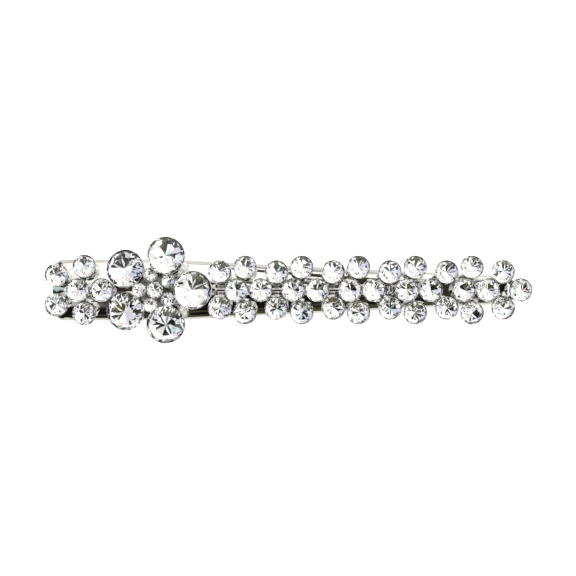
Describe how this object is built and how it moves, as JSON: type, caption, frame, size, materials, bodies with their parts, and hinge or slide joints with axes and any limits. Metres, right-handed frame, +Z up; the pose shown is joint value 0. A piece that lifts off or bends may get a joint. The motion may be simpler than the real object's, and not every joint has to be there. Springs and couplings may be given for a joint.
{
  "type": "rhinestone hair clip",
  "caption": "Long spring hair clip with two hinged jaws, its upper jaw covered by a tapering band of round stones in cups and a raised five-petal stone flower.",
  "frame": {"origin": "centre of the bounding box on the surface that the clip rests on", "axes": "+X from the lever end to the nose, +Y to the left, +Z up, stones upward; the clip stands on its lever's foot and its nose's foot, so the upper jaw slopes down towards the nose by 5.64 degrees"},
  "size_m": [0.0826, 0.0182, 0.0142],
  "materials": {
    "nickel_plate": "bright nickel-plated stamped steel",
    "setting_metal": "bright rhodium-plated cups and lattice",
    "crystal": "clear faceted crystal, foil-backed",
    "spring_steel": "drawn spring wire",
    "pin_steel": "turned steel rivet"
  },
  "bodies": {
    "upper": {"upper_jaw": "nickel_plate", "hinge_pin": "pin_steel", "torsion_spring": "spring_steel", "band_lattice": "setting_metal", "rear_lattice": "setting_metal", "flower_base": "setting_metal", "petal_cup_1": "setting_metal", "petal_cup_2": "setting_metal", "petal_cup_3": "setting_metal", "petal_cup_4": "setting_metal", "petal_cup_5": "setting_metal", "accent_cup_1": "setting_metal", "accent_cup_2": "setting_metal", "accent_cup_3": "setting_metal", "accent_cup_4": "setting_metal", "accent_cup_5": "setting_metal", "centre_cup": "setting_metal", "rear_cups": "setting_metal", "band_1_cups": "setting_metal", "band_2_cups": "setting_metal", "band_3_cups": "setting_metal", "band_4_cups": "setting_metal", "band_5_cups": "setting_metal", "tip_cups": "setting_metal", "petal_stone_1": "crystal", "petal_stone_2": "crystal", "petal_stone_3": "crystal", "petal_stone_4": "crystal", "petal_stone_5": "crystal", "accent_stone_1": "crystal", "accent_stone_2": "crystal", "accent_stone_3": "crystal", "accent_stone_4": "crystal", "accent_stone_5": "crystal", "centre_stone": "crystal", "rear_middle_stones": "crystal", "rear_left_stones": "crystal", "rear_right_stones": "crystal", "band_1_middle_stones": "crystal", "band_1_left_stones": "crystal", "band_1_right_stones": "crystal", "band_2_middle_stones": "crystal", "band_2_left_stones": "crystal", "band_2_right_stones": "crystal", "band_3_middle_stones": "crystal", "band_3_left_stones": "crystal", "band_3_right_stones": "crystal", "band_4_middle_stones": "crystal", "band_4_left_stones": "crystal", "band_4_right_stones": "crystal", "band_5_middle_stones": "crystal", "band_5_left_stones": "crystal", "band_5_right_stones": "crystal", "tip_middle_stones": "crystal", "tip_left_stones": "crystal", "tip_right_stones": "crystal"},
    "lower": {"lower_jaw": "nickel_plate"}
  },
  "joints": [
    {"name": "jaw_hinge", "type": "hinge", "parent": "lower", "child": "upper", "pos_m": [-0.0234, 0, 0.00574], "axis": [0, -1, 0], "range_deg": [0, 24], "stiffness_Nm_per_rad": 0.15, "springref_deg": -28.65, "deforming": ["torsion_spring"]}
  ]
}
